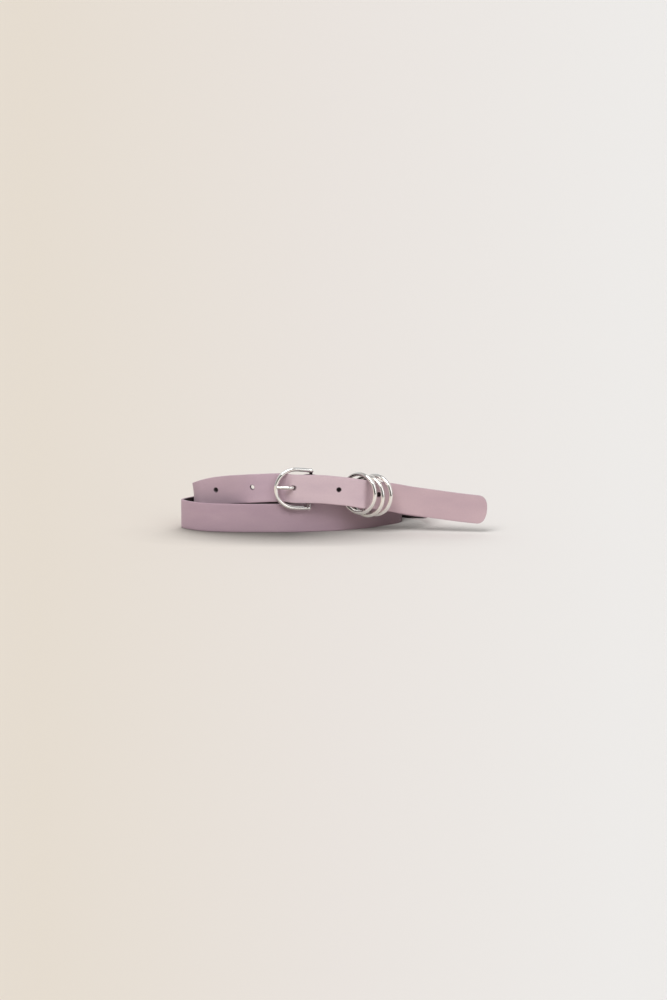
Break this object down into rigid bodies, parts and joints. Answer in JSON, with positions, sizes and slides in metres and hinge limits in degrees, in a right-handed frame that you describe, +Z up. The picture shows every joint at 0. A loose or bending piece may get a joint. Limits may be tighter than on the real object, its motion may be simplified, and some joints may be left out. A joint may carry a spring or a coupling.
{
  "type": "double ring belt",
  "caption": "Narrow leather belt with a round open buckle frame and loose wire rings, buckled, wound into a coil and standing on its edge.",
  "frame": {"origin": "on the ground, under the middle of the belt's bounding box", "axes": "+Z up, +X along the front run towards the strap's tip, +Y to the back, away from the buckle's front"},
  "size_m": [0.215, 0.0822, 0.0465],
  "materials": {
    "leather": "smooth matt lilac leather with a fine grain",
    "metal": "polished silver-coloured metal wire"
  },
  "bodies": {
    "root": {"strap": "leather", "buckle_frame": "metal", "buckle_tongue": "metal", "ring_1": "metal", "ring_2": "metal", "ring_3": "metal"}
  },
  "joints": []
}
